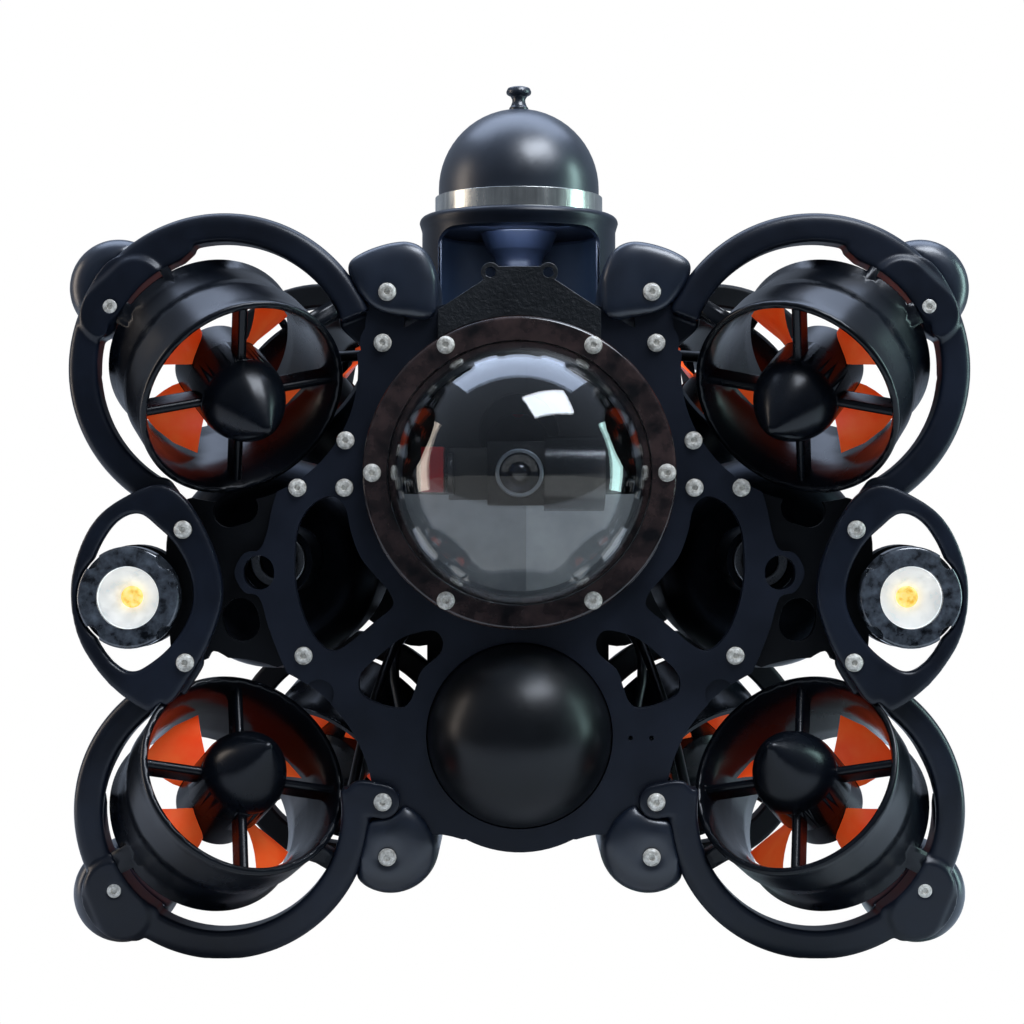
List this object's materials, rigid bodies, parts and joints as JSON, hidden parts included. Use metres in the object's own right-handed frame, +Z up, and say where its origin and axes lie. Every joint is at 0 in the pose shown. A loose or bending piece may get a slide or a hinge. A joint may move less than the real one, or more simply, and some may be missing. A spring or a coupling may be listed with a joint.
{
  "type": "underwater inspection rov",
  "caption": "Compact underwater inspection vehicle with a clear camera dome, ducted vectored thrusters in guard rings, side lamps and a domed sonar mast.",
  "frame": {"origin": "centre of the footprint, on the surface that the guard ring soles stand on", "axes": "-Y is the front that the camera dome faces, +X is to the viewer's right from ahead, +Z is up"},
  "size_m": [0.476, 0.4223, 0.477],
  "materials": {
    "frame_plastic": "matt black moulded nylon",
    "guard_plastic": "satin black moulded plastic",
    "bumper_polyurethane": "satin black moulded polyurethane",
    "anodised_black": "black anodised",
    "battery_dome_black": "satin black",
    "stainless": "brushed stainless",
    "screw_stainless": "bright stainless",
    "flange_gloss": "glossy black",
    "clear_acrylic": "clear polished",
    "grained_nylon": "grained black",
    "red_anodised": "red anodised",
    "circuit_board": "green board",
    "servo_red": "moulded red",
    "matt_bracket": "matt black",
    "camera_gloss": "gloss black",
    "lens_metal": "black anodised with bright rim",
    "cell_wrap": "blue heat shrink",
    "mast_plastic": "satin black",
    "boot_rubber": "smooth satin black",
    "transducer_metal": "turned steel",
    "lamp_smoke": "smoked black",
    "lamp_white": "bright white",
    "emitter_amber": "phosphor yellow",
    "lamp_glass": "clear",
    "cable_jacket": "smooth black jacket",
    "motor_metal": "turned steel",
    "nozzle_plastic": "satin black moulded",
    "propeller_orange": "bright orange moulded"
  },
  "bodies": {
    "hull": {"front_plate": "frame_plastic", "rear_frame": "frame_plastic", "guard_upper_left": "guard_plastic", "guard_upper_right": "guard_plastic", "guard_lower_left": "guard_plastic", "guard_lower_right": "guard_plastic", "corner_bumpers": "bumper_polyurethane", "upper_floats": "bumper_polyurethane", "lower_skids": "bumper_polyurethane", "light_guards": "guard_plastic", "side_webs": "frame_plastic", "side_canisters": "anodised_black", "canister_ports": "stainless", "main_tube": "anodised_black", "camera_flange": "flange_gloss", "camera_dome": "clear_acrylic", "accessory_tab": "grained_nylon", "rear_cap": "anodised_black", "penetrators": "red_anodised", "electronics_tray": "circuit_board", "tilt_servo": "servo_red", "battery_tube": "anodised_black", "battery_dome": "battery_dome_black", "battery_cap": "anodised_black", "battery_pack": "cell_wrap", "sonar_shroud": "mast_plastic", "sonar_stem": "mast_plastic", "sonar_band": "stainless", "sonar_boot": "boot_rubber", "sonar_plug": "boot_rubber", "lamp_housings": "lamp_smoke", "lamp_reflectors": "lamp_white", "lamp_emitters": "emitter_amber", "lamp_windows": "lamp_glass", "frame_screws": "screw_stainless", "thruster_cables": "cable_jacket", "accessory_cables": "cable_jacket", "tether_inlet": "stainless", "motor_stators": "motor_metal", "nose_cones": "nozzle_plastic", "nozzle_front_upper_left": "nozzle_plastic", "nozzle_front_upper_right": "nozzle_plastic", "nozzle_front_lower_left": "nozzle_plastic", "nozzle_front_lower_right": "nozzle_plastic", "nozzle_rear_upper_left": "nozzle_plastic", "nozzle_rear_upper_right": "nozzle_plastic", "nozzle_rear_lower_left": "nozzle_plastic", "nozzle_rear_lower_right": "nozzle_plastic"},
    "propeller_front_upper_left": {"propeller_front_upper_left": "propeller_orange"},
    "propeller_front_upper_right": {"propeller_front_upper_right": "propeller_orange"},
    "propeller_front_lower_left": {"propeller_front_lower_left": "propeller_orange"},
    "propeller_front_lower_right": {"propeller_front_lower_right": "propeller_orange"},
    "propeller_rear_upper_left": {"propeller_rear_upper_left": "propeller_orange"},
    "propeller_rear_upper_right": {"propeller_rear_upper_right": "propeller_orange"},
    "propeller_rear_lower_left": {"propeller_rear_lower_left": "propeller_orange"},
    "propeller_rear_lower_right": {"propeller_rear_lower_right": "propeller_orange"},
    "camera": {"camera_cradle": "matt_bracket", "camera_body": "camera_gloss", "camera_lens": "lens_metal"},
    "sonar_head": {"sonar_transducer": "transducer_metal"}
  },
  "joints": [
    {"name": "spin_front_upper_left", "type": "hinge", "parent": "hull", "child": "propeller_front_upper_left", "pos_m": [-0.1562, -0.12859, 0.3055], "axis": [0.4777, -0.7071, -0.5213], "continuous": true},
    {"name": "spin_front_upper_right", "type": "hinge", "parent": "hull", "child": "propeller_front_upper_right", "pos_m": [0.1562, -0.12859, 0.3055], "axis": [-0.4777, -0.7071, -0.5213], "continuous": true},
    {"name": "spin_front_lower_left", "type": "hinge", "parent": "hull", "child": "propeller_front_lower_left", "pos_m": [-0.1558, -0.12859, 0.0829], "axis": [0.4777, -0.7071, 0.5213], "continuous": true},
    {"name": "spin_front_lower_right", "type": "hinge", "parent": "hull", "child": "propeller_front_lower_right", "pos_m": [0.1558, -0.12859, 0.0829], "axis": [-0.4777, -0.7071, 0.5213], "continuous": true},
    {"name": "spin_rear_upper_left", "type": "hinge", "parent": "hull", "child": "propeller_rear_upper_left", "pos_m": [-0.128, 0.15141, 0.305], "axis": [0.4777, 0.7071, -0.5213], "continuous": true},
    {"name": "spin_rear_upper_right", "type": "hinge", "parent": "hull", "child": "propeller_rear_upper_right", "pos_m": [0.128, 0.15141, 0.305], "axis": [-0.4777, 0.7071, -0.5213], "continuous": true},
    {"name": "spin_rear_lower_left", "type": "hinge", "parent": "hull", "child": "propeller_rear_lower_left", "pos_m": [-0.112, 0.15141, 0.0769], "axis": [0.4777, 0.7071, 0.5213], "continuous": true},
    {"name": "spin_rear_lower_right", "type": "hinge", "parent": "hull", "child": "propeller_rear_lower_right", "pos_m": [0.112, 0.15141, 0.0769], "axis": [-0.4777, 0.7071, 0.5213], "continuous": true},
    {"name": "camera_tilt", "type": "hinge", "parent": "hull", "child": "camera", "pos_m": [0, -0.12459, 0.253], "axis": [1, 0, 0], "range_deg": [-45, 45]},
    {"name": "sonar_scan", "type": "hinge", "parent": "hull", "child": "sonar_head", "pos_m": [0, -0.02659, 0.411], "axis": [0, 0, 1], "continuous": true}
  ]
}
